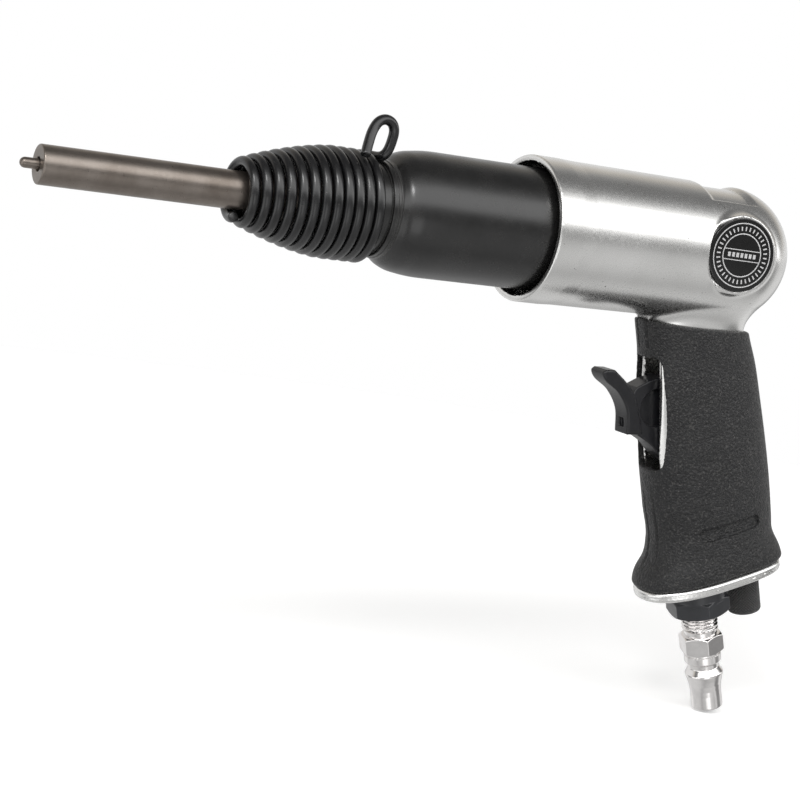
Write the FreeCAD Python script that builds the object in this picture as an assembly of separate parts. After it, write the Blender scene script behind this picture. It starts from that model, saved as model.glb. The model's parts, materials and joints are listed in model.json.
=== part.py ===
"""Pneumatic rivet gun as separate pieces, one STEP file per piece.

Units are millimetres.  The origin is the centre of the rivet set's working face.
+X runs back along the barrel's axis, +Z is up and the handle hangs towards -Z.
"""
import FreeCAD, Part

import math
import os

V = FreeCAD.Vector

# ---- driving dimensions along the barrel's axis (x) ----
BAR_R = 5.9            # rivet set bar
PILOT_R = 1.3          # pilot pin in the set's face
PILOT_SHANK_R = 1.6    # its pressed end in the bar
PILOT_OUT = 5.4        # how far the pilot pin stands out
PILOT_IN = 8.0         # how deep it sits in the bar
DIMPLE_DEEP = 1.2      # recess round the pin's foot
DIMPLE_R = 2.2
COLLAR_X = 80.0        # front of the set's collar
COLLAR_R = 9.5
BARREL_X = 92.0        # barrel's front face
SHANK_END = 131.0      # rear end of the set's shank
SHANK_R = 5.09
NECK_R = 14.2          # barrel nose that the retainer spring screws on
STEP_X = 108.0         # stepped ring behind the retainer spring
STEP_R = 15.6
SHOULDER_X = 110.9     # start of the barrel's rounded shoulder
BARREL_R = 20.0
RIM_X = 163.3          # front rim of the housing's skirt
SKIRT_END = 187.0      # end of the exhaust gap in the skirt
THREAD_R = 19.0        # barrel's rear thread
VALVE_X = 206.0        # barrel's rear face, where the valve starts
VALVE_END = 236.0      # bottom of the valve's bore
DOME_X = 243.5         # centre of the rounded rear end
HEAD_R = 23.3          # head's radius at the dome
RIM_R = 24.0           # head's radius at the rim
SKIRT_WALL = 2.0
BORE_R = 9.5           # piston bore
PISTON_X = 172.0       # piston's front face at rest
PISTON_LEN = 32.0
VALVE_R = 17.1
RUN = 0.05             # radial running clearance

# ---- retainer spring ----
WIRE_R = 1.5
COIL_PITCH = 3.52
COIL_START_X = 61.2    # wire centre at the small front end
COIL_START_DEG = -195.0
COIL_TURNS = 12
COIL_BIG_R = 17.45     # outer radius of the straight rear coils
COIL_SMALL_R = 9.45    # outer radius of the first coil
CONE_END_X = 92.0      # where the coils reach the full radius

# ---- handle: s runs down along its axis, u runs to the rear across it ----
RAKE = 17.76           # degrees from vertical
GRIP_X = 221.0         # where the handle's axis meets the barrel's
SLEEVE_TOP_Z = -25.3
FLANGE_TOP = 117.9
FLANGE_END = 121.6
# grip stations: s, centre u, half depth, half width, rubber thickness
STATIONS = (
    (12.0, 8.0, 20.4, 12.7, 1.0),
    (24.0, 7.9, 20.6, 12.8, 1.2),
    (36.0, 7.8, 20.8, 13.0, 1.8),
    (46.0, 7.6, 22.5, 13.5, 2.0),
    (60.0, 7.5, 23.5, 14.0, 2.0),
    (74.0, 7.6, 24.1, 14.3, 2.0),
    (90.0, 7.7, 24.3, 14.5, 2.0),
    (103.0, 7.5, 24.1, 14.6, 2.0),
    (109.0, 6.3, 24.9, 15.1, 2.0),
    (113.5, 4.6, 27.2, 15.6, 2.5),
    (117.9, 4.0, 28.1, 15.9, 3.0),
)
GRIP_POWER = 2.4       # superellipse power of the grip's sections
FOOT_POWER = 3.0       # blunter power at the grip's foot and flange
WINDOW_TOP = 36.0      # opening in the sleeve for the trigger
WINDOW_END = 75.2
WINDOW_HALF = 7.0      # at its ends
WINDOW_BOW = 1.7       # wider by this in the middle
SLOT_TOP = 36.0        # slot in the casting for the trigger's web
SLOT_END = 79.5
SLOT_HALF = 4.5
SLOT_BACK_U = 2.0
TRIGGER_HALF = 4.25
PIVOT = (73.0, -5.0)   # trigger pin, s and u
PIN_HALF = 10.0        # half length of the trigger pin
KEEPER_HALF = 9.2      # half length of the pin that keeps the regulator in
THROTTLE_S = 54.0      # throttle axis
STEM_R = 2.0
STEM_TIP_U = -4.1      # nose of the throttle stem, just behind the trigger
FEED_U = 9.2           # air passage from the throttle up to the valve
REGULATOR_U = 19.8     # regulator axis
REGULATOR_R = 6.0
KNOB_END = 138.8
BUSHING_AF = 20.0
BUSHING_TOP = 127.0    # top and bottom of its hexagon
BUSHING_END = 133.3
PLUG_AF = 14.0
PLUG_THREAD_R = 6.6
GROOVE_R = 5.5         # groove for the coupler's balls
NOSE_R = 5.6
NOSE_TOP = 163.0
PLUG_END = 170.2

# ---- badge on its boss ----
BADGE = V(236.0, -22.0, 1.4)   # centre of the boss's flat face
BADGE_R = 12.3
BADGE_SUNK = 0.4       # how far the badge sits in the boss
BOSS_R = 13.6
BADGE_TURN = -6.8      # degrees, the badge faces slightly forward


# ---- helpers for pieces turned about the barrel's axis ----
def turned(start, *moves):
    """Solid turned about the barrel's axis from an (x, r) outline.

    A move is a corner (x, r), or a pair of points for an arc: through, to.
    """
    edges = []
    here = V(start[0], 0, start[1])
    for move in moves + (start,):
        arc = isinstance(move[0], tuple)
        corner = move[1] if arc else move
        there = V(corner[0], 0, corner[1])
        if arc:
            through = V(move[0][0], 0, move[0][1])
            edges.append(Part.Arc(here, through, there).toShape())
        else:
            edges.append(Part.makeLine(here, there))
        here = there
    face = Part.Face(Part.Wire(edges))
    return face.revolve(V(0, 0, 0), V(1, 0, 0), 360)


def rod(radius, x0, x1, y=0.0, z=0.0):
    """Cylinder along the barrel's axis."""
    return Part.makeCylinder(radius, x1 - x0, V(x0, y, z), V(1, 0, 0))


def ring(r_in, r_out, x0, x1):
    return rod(r_out, x0, x1).cut(rod(r_in, x0 - 1, x1 + 1))


def o_ring(major, minor, centre, axis):
    return Part.makeTorus(major, minor, centre, axis)


# ---- helpers for the handle, built upright as (u, y, -s) and then raked ----
def raked(shape):
    """Move an upright handle shape to its raked place."""
    shape.Placement = FreeCAD.Placement(
        V(GRIP_X, 0, 0), FreeCAD.Rotation(V(0, 1, 0), -RAKE)
    ).multiply(shape.Placement)
    return shape


def down_rod(radius, s0, s1, u=0.0, r_end=None):
    """Cylinder or cone along the handle's axis, from s0 down to s1."""
    base = V(u, 0, -s0)
    if r_end is None:
        return Part.makeCylinder(radius, s1 - s0, base, V(0, 0, -1))
    return Part.makeCone(radius, r_end, s1 - s0, base, V(0, 0, -1))


def back_rod(radius, u0, u1, s=THROTTLE_S):
    """Cylinder across the handle, from u0 back to u1."""
    return Part.makeCylinder(radius, u1 - u0, V(u0, 0, -s), V(1, 0, 0))


def side_rod(radius, half, s, u):
    """Cylinder from side to side of the handle."""
    return Part.makeCylinder(radius, 2 * half, V(u, -half, -s), V(0, 1, 0))


def block(u0, u1, half, s0, s1):
    return Part.makeBox(u1 - u0, 2 * half, s1 - s0, V(u0, -half, -s1))


def hexagon(across_flats, s0, s1, turn):
    """Hexagon bar along the handle's axis, with its corners rounded off both ends."""
    corner_r = across_flats / math.sqrt(3)
    angles = [math.radians(turn + 60 * k) for k in range(7)]
    corners = [V(corner_r * math.cos(a), corner_r * math.sin(a), -s1) for a in angles]
    prism = Part.Face(Part.makePolygon(corners)).extrude(V(0, 0, s1 - s0))
    bevel = corner_r - across_flats / 2
    flat_r = across_flats / 2
    crown = down_rod(flat_r, s0, s0 + bevel / 2, 0, corner_r)
    waist = down_rod(corner_r, s0 + bevel / 2, s1 - bevel / 2)
    heel = down_rod(corner_r, s1 - bevel / 2, s1, 0, flat_r)
    return prism.common(crown.fuse([waist, heel]))


def section(s, centre_u, half_depth, half_width, power, points=28):
    """Closed superellipse wire across the handle."""
    corners = []
    for k in range(points):
        angle = 2 * math.pi * k / points
        c, d = math.cos(angle), math.sin(angle)
        u = centre_u + half_depth * math.copysign(abs(c) ** (2 / power), c)
        y = half_width * math.copysign(abs(d) ** (2 / power), d)
        corners.append(V(u, y, -s))
    curve = Part.BSplineCurve()
    curve.interpolate(corners, PeriodicFlag=True)
    return Part.Wire(curve.toShape())


def grip_body(rubber):
    """The grip's solid: its rubber outside, or the casting inside the rubber."""
    wires = []
    for s, centre_u, half_depth, half_width, wall in STATIONS:
        inset = 0.0 if rubber else wall
        power = FOOT_POWER if s == FLANGE_TOP else GRIP_POWER
        wires.append(section(s, centre_u, half_depth - inset, half_width - inset, power))
    return Part.makeLoft(wires, True)


# ---- pieces on the barrel's axis ----
def rivet_set():
    bar = turned(
        (DIMPLE_DEEP, 0), (DIMPLE_DEEP, DIMPLE_R), (0, DIMPLE_R), (0, BAR_R - 0.6), (0.6, BAR_R),
        (COLLAR_X - 3, BAR_R), ((COLLAR_X - 1, BAR_R + 1), (COLLAR_X, COLLAR_R - 0.6)),
        (COLLAR_X + 0.6, COLLAR_R), (BARREL_X - 1.0, COLLAR_R),
        (BARREL_X - 0.4, COLLAR_R - 0.6), (BARREL_X - 0.4, SHANK_R),
        (SHANK_END - 1.0, SHANK_R), (SHANK_END, SHANK_R - 1.0), (SHANK_END, 0),
    )
    return bar.cut(rod(PILOT_SHANK_R, 0, PILOT_IN))


def pilot_pin():
    tip = -PILOT_OUT
    return turned(
        (tip, 0), ((tip + 0.38, PILOT_R * 0.71), (tip + PILOT_R, PILOT_R)),
        (DIMPLE_DEEP, PILOT_R), (DIMPLE_DEEP, PILOT_SHANK_R),
        (PILOT_IN, PILOT_SHANK_R), (PILOT_IN, 0),
    )


def coil_radius(x):
    """Outer radius of the beehive spring at x."""
    along = min(max((x - 60.5) / (CONE_END_X - 60.5), 0.0), 1.0)
    return COIL_BIG_R - (COIL_BIG_R - COIL_SMALL_R) * (1 - along) ** 1.5


def coil_point(turn_deg):
    """Centre of the wire after turning to turn_deg, measured from the top towards -Y."""
    angle = math.radians(turn_deg)
    x = COIL_START_X + COIL_PITCH * (turn_deg - COIL_START_DEG) / 360
    radius = coil_radius(x) - WIRE_R
    return V(x, -radius * math.sin(angle), radius * math.cos(angle))


def retainer_spring():
    """Beehive coil whose rear end bends up into a finger loop and back down."""
    step = 22.5
    last_deg = 360 * COIL_TURNS
    count = int((last_deg - COIL_START_DEG) / step)
    coil = [coil_point(last_deg - step * k) for k in range(count, -1, -1)]
    end_x = coil[-1].x
    loop = [
        V(end_x + 0.85, -2.6, 16.0), V(end_x + 1.6, -4.3, 16.6), V(end_x + 2.6, -5.0, 18.2),
        V(end_x + 3.4, -5.2, 21.1), V(end_x + 3.65, -5.4, 24.5), V(end_x + 2.4, -5.7, 26.8),
        V(end_x - 0.15, -6.1, 27.6), V(end_x - 2.8, -6.7, 26.5), V(end_x - 4.85, -7.6, 23.5),
        V(end_x - 6.45, -9.2, 19.5), V(end_x - 7.5, -10.6, 16.4),
    ]
    path = Part.BSplineCurve()
    path.interpolate(coil + loop)
    start_dir = path.tangent(path.FirstParameter)[0]
    circle = Part.Wire(Part.makeCircle(WIRE_R, coil[0], start_dir))
    return Part.Wire(path.toShape()).makePipeShell([circle], True, True)


def barrel():
    body = turned(
        (BARREL_X, SHANK_R + RUN), (BARREL_X, NECK_R - 1), (BARREL_X + 1, NECK_R),
        (STEP_X, NECK_R), (STEP_X, STEP_R - 0.3), (STEP_X + 1.4, STEP_R - 0.3), (STEP_X + 1.4, STEP_R),
        (SHOULDER_X, STEP_R), ((115.2, 18.6), (122.5, BARREL_R)),
        (SKIRT_END, BARREL_R), (SKIRT_END, THREAD_R), (190, THREAD_R), (190, 17.4),
        (192, 17.4), (192, THREAD_R), (VALVE_X - 0.8, THREAD_R), (VALVE_X, THREAD_R - 0.8),
        (VALVE_X, BORE_R), (125, BORE_R), (125, SHANK_R + RUN),
    )
    port_x = 176.0
    for k in range(6):
        port = Part.makeCylinder(2.0, 30, V(port_x, 0, 0), V(0, 0, 1))
        port.rotate(V(port_x, 0, 0), V(1, 0, 0), 30 + 60 * k)
        body = body.cut(port)
    return body


def barrel_oring():
    return o_ring(18.2, 0.78, V(191, 0, 0), V(1, 0, 0))


def piston():
    radius = BORE_R - RUN
    rear = PISTON_X + PISTON_LEN
    return turned(
        (PISTON_X, 0), (PISTON_X, radius - 1.5), (PISTON_X + 1.5, radius),
        (rear - 1, radius), (rear, radius - 1), (rear, 0),
    )


def valve_case():
    front = VALVE_X + 0.05
    body = turned(
        (front, 7.0), (front, VALVE_R - 0.5), (front + 0.5, VALVE_R), (222, VALVE_R),
        (222, 10.0), (210, 10.0), (210, 7.0),
    )
    return body.cut(dowel_rods(218, 222))


def valve_cap():
    body = turned(
        (222, 7.0), (222, VALVE_R), (234, VALVE_R), (234, 4.0), (231.5, 4.0), (231.5, 7.0),
    )
    return body.cut(dowel_rods(222, 226))


def valve_spool():
    return turned(
        (212.6, 4.5), (212.6, 10.0 - RUN), (218, 10.0 - RUN), (218, 7.0 - RUN),
        (230, 7.0 - RUN), (230, 4.5),
    )


def dowel_rods(x0, x1):
    rods = [rod(1.5, x0, x1, y=side * 13.5) for side in (-1, 1)]
    return Part.makeCompound(rods)


def valve_dowels():
    return dowel_rods(218, 226)


def valve_washer():
    return ring(9.0, 16.0, 234, 235.6)


# ---- housing: head, handle core and base flange in one casting ----
def head_outside():
    """Skirt, tube and half-ball rear end."""
    tube = turned(
        (RIM_X, 0), (RIM_X, RIM_R - 0.4), (RIM_X + 0.4, RIM_R), (RIM_X + 9, RIM_R),
        (RIM_X + 12, HEAD_R + 0.4), (DOME_X, HEAD_R), (DOME_X, 0),
    )
    dome = Part.makeSphere(HEAD_R, V(DOME_X, 0, 0), V(1, 0, 0), 0, 90, 360)
    return tube.fuse(dome)


def badge_boss():
    return on_badge(Part.makeCone(15.0, BOSS_R, 8.0, V(0, 0, -8.0)))


def badge_spot_face():
    """The ring of the boss's face, which cuts a little into the head."""
    return on_badge(Part.makeCylinder(BOSS_R, 6.0))


def on_badge(shape):
    """Move a shape built upright at the origin on to the badge's boss face."""
    shape.Placement = FreeCAD.Placement(
        BADGE, FreeCAD.Rotation(V(0, 0, 1), BADGE_TURN)
    ).multiply(FreeCAD.Placement(V(0, 0, 0), FreeCAD.Rotation(V(1, 0, 0), 90)))
    return shape


def label_pocket():
    """Shallow empty pocket round the top of the head, ramped at its ends."""
    half_angle = 38
    floor_r = HEAD_R - 1.3
    outline = [(227, HEAD_R + 1.2), (230.5, floor_r), (241.5, floor_r), (245, HEAD_R + 1.2)]
    corners = [V(x, 0, r) for x, r in outline + outline[:1]]
    face = Part.Face(Part.makePolygon(corners))
    face.rotate(V(0, 0, 0), V(1, 0, 0), -half_angle)
    return face.revolve(V(0, 0, 0), V(1, 0, 0), 2 * half_angle)


def base_flange():
    foot = Part.Face(section(FLANGE_END, 3.9, 27.5, 15.9, FOOT_POWER))
    flange = foot.extrude(V(0, 0, FLANGE_END - FLANGE_TOP))
    return flange.makeFillet(0.9, flange.Edges)


def grip_core():
    """The handle's metal core with the flat front that the trigger window shows."""
    core = grip_body(rubber=False)
    flat = Part.makePolygon([
        V(-40, -9, -WINDOW_TOP), V(-9.3, -9, -WINDOW_TOP),
        V(-13.9, -9, -WINDOW_END), V(-40, -9, -WINDOW_END), V(-40, -9, -WINDOW_TOP),
    ])
    return core.cut(Part.Face(flat).extrude(V(0, 18, 0)))


def handle_hollows():
    """Everything cut out of the handle: slot, throttle bore and air passages."""
    inlet_r = 8.6
    return [
        block(-40, SLOT_BACK_U, SLOT_HALF, SLOT_TOP, SLOT_END),
        side_rod(1.5, PIN_HALF, *PIVOT),
        back_rod(4.0, SLOT_BACK_U - 1, 12.5),
        back_rod(6.5, 12.0, 24.5),
        back_rod(7.0, 21.5, 34),
        down_rod(inlet_r, 105.5, FLANGE_END + 1),
        down_rod(2.5, 92, 106),
        back_rod(2.5, 0, REGULATOR_U, s=94),
        down_rod(4.05, 92, FLANGE_END + 1, u=REGULATOR_U),
        down_rod(3.0, THROTTLE_S, 93, u=REGULATOR_U),
        down_rod(2.5, 0, THROTTLE_S, u=FEED_U),
        side_rod(1.0, KEEPER_HALF, 112, REGULATOR_U + 3.0),
    ]


def housing():
    body = blend_neck(head_outside().fuse(raked(grip_core())))
    body = body.fuse([badge_boss(), raked(base_flange())])
    head_hollows = [
        rod(RIM_R - SKIRT_WALL, RIM_X - 1, SKIRT_END),
        rod(THREAD_R + RUN, SKIRT_END - 1, VALVE_X),
        rod(VALVE_R + RUN, VALVE_X - 1, VALVE_END),
        rod(13.0, VALVE_END - 1, 250),
        label_pocket(),
        badge_spot_face(),
        badge_recess(),
    ]
    hollows = head_hollows + [raked(hollow) for hollow in handle_hollows()]
    return body.cut(hollows)


def blend_neck(body, radius=3.2):
    """Round the corner where the handle leaves the head."""
    corner = []
    for edge in body.Edges:
        middle = edge.valueAt((edge.FirstParameter + edge.LastParameter) / 2)
        box = edge.BoundBox
        near_head = box.ZMax < -8 and box.ZMin > -HEAD_R - 3
        if near_head and 195 < middle.x < 270:
            corner.append(edge)
    return body.makeFillet(radius, corner)


def badge_recess():
    return on_badge(Part.makeCylinder(BADGE_R + RUN, 3.0, V(0, 0, -BADGE_SUNK)))


def badge():
    disc = Part.makeCylinder(BADGE_R, BADGE_SUNK + 0.6, V(0, 0, -BADGE_SUNK))
    return on_badge(disc.makeFillet(0.25, [disc.Edges[0]]))


# ---- pieces on the handle ----
def sleeve_window():
    """Bowed opening in the sleeve's front, cut through its front wall only."""
    top, end = -WINDOW_TOP, -WINDOW_END
    middle = (top + end) / 2
    bow = WINDOW_HALF + WINDOW_BOW
    edges = [
        Part.makeLine(V(-45, -WINDOW_HALF, top), V(-45, WINDOW_HALF, top)),
        Part.Arc(V(-45, WINDOW_HALF, top), V(-45, bow, middle), V(-45, WINDOW_HALF, end)).toShape(),
        Part.makeLine(V(-45, WINDOW_HALF, end), V(-45, -WINDOW_HALF, end)),
        Part.Arc(V(-45, -WINDOW_HALF, end), V(-45, -bow, middle), V(-45, -WINDOW_HALF, top)).toShape(),
    ]
    return Part.Face(Part.Wire(edges)).extrude(V(42, 0, 0))


def grip_sleeve(casting):
    sleeve = grip_body(rubber=True).cut([grip_body(rubber=False), sleeve_window()])
    sleeve = raked(sleeve)
    below = Part.makeBox(140, 60, 110, V(170, -30, SLEEVE_TOP_Z - 110))
    return sleeve.common(below).cut(casting)


def trigger():
    """Finger blade, web and pivot eye in one moulding."""
    front = Part.BSplineCurve()
    front.interpolate([V(u, 0, -s) for s, u in (
        (36.0, -31.8), (39.7, -31.0), (44.9, -26.6), (52.0, -24.1), (60.2, -25.0))])
    rear = Part.BSplineCurve()
    rear.interpolate([V(u, 0, -s) for s, u in (
        (45.4, -21.0), (41.6, -23.1), (36.4, -27.0))])
    under = Part.BSplineCurve()
    under.interpolate([V(u, 0, -s) for s, u in (
        (61.6, -19.2), (66.0, -15.9), (70.6, -13.0), (76.4, -7.4))])
    eye_u, eye_s = PIVOT[1], PIVOT[0]
    edges = [
        front.toShape(),
        Part.makeLine(V(-25.0, 0, -60.2), V(-19.2, 0, -61.6)),
        under.toShape(),
        Part.Arc(V(-7.4, 0, -76.4), V(eye_u + 1.2, 0, -eye_s - 4.0), V(eye_u + 4.2, 0, -eye_s)).toShape(),
        Part.makeLine(V(eye_u + 4.2, 0, -eye_s), V(-4.2, 0, -58.0)),
        Part.makeLine(V(-4.2, 0, -58.0), V(-4.2, 0, -50.0)),
        Part.makeLine(V(-4.2, 0, -50.0), V(-8.0, 0, -43.3)),
        Part.makeLine(V(-8.0, 0, -43.3), V(-21.0, 0, -45.4)),
        rear.toShape(),
        Part.makeLine(V(-27.0, 0, -36.4), V(-31.8, 0, -36.0)),
    ]
    lever = Part.Face(Part.Wire(Part.__sortEdges__(edges))).extrude(V(0, 2 * TRIGGER_HALF, 0))
    lever.translate(V(0, -TRIGGER_HALF, 0))
    dimples = [
        Part.makeCylinder(6.6, 2, V(-11.9, side * TRIGGER_HALF, -53.7), V(0, -side, 0))
        for side in (-1, 1)
    ]
    return raked(lever.cut(dimples + [side_rod(1.5 + RUN, 6, *PIVOT)]))


def trigger_pin():
    return raked(side_rod(1.5, PIN_HALF, *PIVOT))


def throttle_bush():
    """Guide for the stem in front, wider air passage and seat behind."""
    tube = back_rod(4.0, SLOT_BACK_U, 12.5)
    guide = back_rod(2.0 + RUN, 1, 7)
    passage = back_rod(3.1, 6.0, 13)
    outlet = down_rod(1.6, 48, THROTTLE_S, u=FEED_U)
    return raked(tube.cut([guide, passage, outlet]))


def throttle_stem():
    """Round-nosed stem that the trigger pushes, with the valve head behind."""
    nose = Part.makeSphere(STEM_R, V(STEM_TIP_U + STEM_R, 0, -THROTTLE_S))
    rod_part = back_rod(STEM_R, STEM_TIP_U + STEM_R, 14.6)
    head = back_rod(4.6, 14.0, 16.5)
    return raked(nose.fuse([rod_part, head]).removeSplitter())


def throttle_seal():
    return raked(back_rod(4.4, 12.6, 14.0).cut(back_rod(STEM_R, 12, 15)))


def throttle_spring():
    """Three turns of wire between the valve head and the screw plug."""
    wire_r, coil_r, pitch, turns = 0.35, 3.4, 1.75, 3
    points = []
    for k in range(16 * turns + 1):
        angle = math.pi * k / 8
        u = 16.95 + pitch * k / 16
        points.append(V(u, coil_r * math.sin(angle), coil_r * math.cos(angle) - THROTTLE_S))
    path = Part.BSplineCurve()
    path.interpolate(points)
    heading = path.tangent(path.FirstParameter)[0]
    circle = Part.Wire(Part.makeCircle(wire_r, points[0], heading))
    return raked(Part.Wire(path.toShape()).makePipeShell([circle], True, True))


def throttle_plug():
    plug = back_rod(6.95, 22.9, 25.4)
    socket = Part.makeBox(2.0, 4.0, 4.0, V(24.0, -2.0, -THROTTLE_S - 2.0))
    return raked(plug.cut(socket))


def regulator_knob():
    """Finger knob with its spindle; a neck in the spindle takes the cross pin."""
    knob = down_rod(REGULATOR_R - 0.6, FLANGE_END + 0.2, FLANGE_END + 0.8, 0, REGULATOR_R)
    grip = down_rod(REGULATOR_R, FLANGE_END + 0.8, KNOB_END - 0.8)
    end = down_rod(REGULATOR_R, KNOB_END - 0.8, KNOB_END, 0, REGULATOR_R - 0.8)
    spindle = down_rod(4.0, 96.5, FLANGE_END + 0.4)
    body = knob.fuse([grip, end, spindle]).removeSplitter()
    neck = down_rod(6, 110.8, 113.2).cut(down_rod(1.95, 110, 114))
    groove = down_rod(6, 115.6, 117.4).cut(down_rod(2.6, 115, 118))
    port = back_rod(2.5, 0, 8, s=96.5)
    slot = Part.makeBox(9.0, 1.2, 1.5, V(-4.5, -0.6, -KNOB_END - 0.5))
    body = body.cut([neck, groove, port, slot])
    body.translate(V(REGULATOR_U, 0, 0))
    return raked(body)


def regulator_oring():
    return raked(o_ring(3.3, 0.66, V(REGULATOR_U, 0, -116.5), V(0, 0, 1)))


def regulator_pin():
    return raked(side_rod(1.0, KEEPER_HALF, 112, REGULATOR_U + 3.0))


def inlet_bushing():
    """Threaded bushing: neck in the handle, round collar, hexagon below."""
    head = hexagon(BUSHING_AF, BUSHING_TOP, BUSHING_END, 21)
    collar = down_rod(10.2, 123.0, BUSHING_TOP + 1)
    neck = down_rod(8.5, 107, 123.4)
    body = head.fuse([collar, neck]).removeSplitter()
    bore = down_rod(PLUG_THREAD_R, 109.5, BUSHING_END + 1)
    return raked(body.cut([bore, down_rod(5.0, 106, 110)]))


def inlet_oring():
    return raked(o_ring(9.35, 0.68, V(0, 0, -122.3), V(0, 0, 1)))


def inlet_screen():
    mesh = down_rod(6.5, 109.6, 110.6)
    holes = []
    for row in range(-2, 3):
        for column in range(-2, 3):
            if row * row + column * column < 6:
                hole = Part.makeCylinder(0.7, 3, V(2 * row, 2 * column, -112), V(0, 0, 1))
                holes.append(hole)
    return raked(mesh.cut(holes))


def air_plug():
    """Quick-connect plug: thread, hexagon, collar, locking groove and nose."""
    body = down_rod(PLUG_THREAD_R, 111.5, BUSHING_END + 1)
    pieces = [
        down_rod(PLUG_THREAD_R, BUSHING_END + 1, 138.8, 0, 6.2),
        down_rod(5.9, 138.8, 142.0),
        hexagon(PLUG_AF, 141.7, 148.5, 17),
        down_rod(6.6, 148.4, 152.8),
        down_rod(GROOVE_R, 152.8, 154.7),
        down_rod(GROOVE_R, 154.7, 157.0, 0, 6.85),
        down_rod(6.85, 157.0, NOSE_TOP, 0, NOSE_R),
        down_rod(NOSE_R, NOSE_TOP, PLUG_END - 0.5),
        down_rod(NOSE_R, PLUG_END - 0.5, PLUG_END, 0, NOSE_R - 0.5),
    ]
    body = body.fuse(pieces).removeSplitter()
    return raked(body.cut(down_rod(3.4, 111, PLUG_END + 1)))


def main():
    casting = housing()
    pieces = {
        "housing": casting,
        "barrel": barrel(),
        "barrel_oring": barrel_oring(),
        "rivet_set": rivet_set(),
        "pilot_pin": pilot_pin(),
        "retainer_spring": retainer_spring(),
        "piston": piston(),
        "valve_case": valve_case(),
        "valve_cap": valve_cap(),
        "valve_spool": valve_spool(),
        "valve_dowels": valve_dowels(),
        "valve_washer": valve_washer(),
        "badge": badge(),
        "grip_sleeve": grip_sleeve(casting),
        "trigger": trigger(),
        "trigger_pin": trigger_pin(),
        "throttle_bush": throttle_bush(),
        "throttle_stem": throttle_stem(),
        "throttle_seal": throttle_seal(),
        "throttle_spring": throttle_spring(),
        "throttle_plug": throttle_plug(),
        "regulator_knob": regulator_knob(),
        "regulator_oring": regulator_oring(),
        "regulator_pin": regulator_pin(),
        "inlet_bushing": inlet_bushing(),
        "inlet_oring": inlet_oring(),
        "inlet_screen": inlet_screen(),
        "air_plug": air_plug(),
    }
    os.makedirs("parts", exist_ok=True)
    for name, shape in pieces.items():
        shape.exportStep("parts/" + name + ".step")
        print(name, "solids", len(shape.Solids), "volume", round(shape.Volume, 1), shape.isValid())


main()
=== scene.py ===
"""Looks of a pneumatic rivet gun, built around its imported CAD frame.

Outlines are written in millimetres in the row frame and scaled to metres when a mesh is made.
On the handle, s runs down its axis and u runs back across it.
"""
import json
import math

import bpy
import numpy as np
from mathutils import Matrix, Vector


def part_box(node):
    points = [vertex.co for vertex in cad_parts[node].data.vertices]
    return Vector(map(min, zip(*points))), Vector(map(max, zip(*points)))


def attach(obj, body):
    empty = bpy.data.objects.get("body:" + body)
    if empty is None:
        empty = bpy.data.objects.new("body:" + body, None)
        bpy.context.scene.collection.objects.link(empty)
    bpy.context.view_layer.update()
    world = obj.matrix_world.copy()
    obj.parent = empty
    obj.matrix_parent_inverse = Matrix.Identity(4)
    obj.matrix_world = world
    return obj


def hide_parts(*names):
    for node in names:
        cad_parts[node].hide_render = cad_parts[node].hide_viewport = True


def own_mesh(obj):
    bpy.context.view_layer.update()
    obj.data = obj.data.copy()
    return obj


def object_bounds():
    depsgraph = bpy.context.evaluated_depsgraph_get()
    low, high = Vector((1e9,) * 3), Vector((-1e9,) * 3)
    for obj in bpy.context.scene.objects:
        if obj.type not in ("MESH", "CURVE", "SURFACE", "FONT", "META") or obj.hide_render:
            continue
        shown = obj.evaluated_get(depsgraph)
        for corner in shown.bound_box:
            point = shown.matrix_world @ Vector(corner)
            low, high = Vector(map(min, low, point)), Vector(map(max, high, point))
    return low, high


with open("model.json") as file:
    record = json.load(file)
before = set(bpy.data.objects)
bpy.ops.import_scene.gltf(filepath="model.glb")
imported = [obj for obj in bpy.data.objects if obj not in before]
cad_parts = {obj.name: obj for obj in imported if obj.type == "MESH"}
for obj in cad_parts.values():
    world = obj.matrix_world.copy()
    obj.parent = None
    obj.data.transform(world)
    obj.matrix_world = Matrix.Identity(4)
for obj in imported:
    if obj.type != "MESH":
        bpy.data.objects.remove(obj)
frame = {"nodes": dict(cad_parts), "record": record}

CAD_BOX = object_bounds()
MM = 0.001


def span(node):
    """Lowest and highest corners of a CAD node in millimetres."""
    low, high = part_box(node)
    return low / MM, high / MM


def mount(name):
    return next(m for m in frame["record"]["mounts"] if m["name"] == name)


# ---- sizes taken from the frame ----
DOWN = Vector(mount("air_plug_nose")["axis"])
REAR = Vector((-DOWN.z, 0, DOWN.x))
NOSE = Vector(mount("air_plug_nose")["pos_m"]) / MM
GRIP_X = NOSE.x - NOSE.z * DOWN.x / DOWN.z
BARREL_LOW, BARREL_HIGH = span("barrel")
BARREL_R = BARREL_HIGH.y
HEAD_LOW, HEAD_HIGH = span("housing")
RIM_X = HEAD_LOW.x
RIM_R = HEAD_HIGH.z
SKIRT_END = 187.0      # end of the exhaust gap between the skirt and the barrel
SET_LOW, SET_HIGH = span("rivet_set")
PILOT_LOW, PILOT_HIGH = span("pilot_pin")
PILOT_R = PILOT_HIGH.y
SLEEVE_TOP = span("grip_sleeve")[1].z


# ---- mesh making ----
def piece(name, points, faces, material, body, *nodes, sharp=32.0):
    """Mesh object from points in millimetres; it rides on a body and stands for CAD nodes."""
    mesh = bpy.data.meshes.new(name)
    mesh.from_pydata([tuple(p) for p in np.asarray(points, float) * MM], [], faces)
    mesh.validate()
    mesh.update()
    mesh.shade_smooth()
    mesh.set_sharp_from_angle(angle=math.radians(sharp))
    mesh.materials.append(material)
    thing = bpy.data.objects.new(name, mesh)
    bpy.context.scene.collection.objects.link(thing)
    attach(thing, body)
    if nodes:
        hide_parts(*nodes)
    return thing


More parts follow.
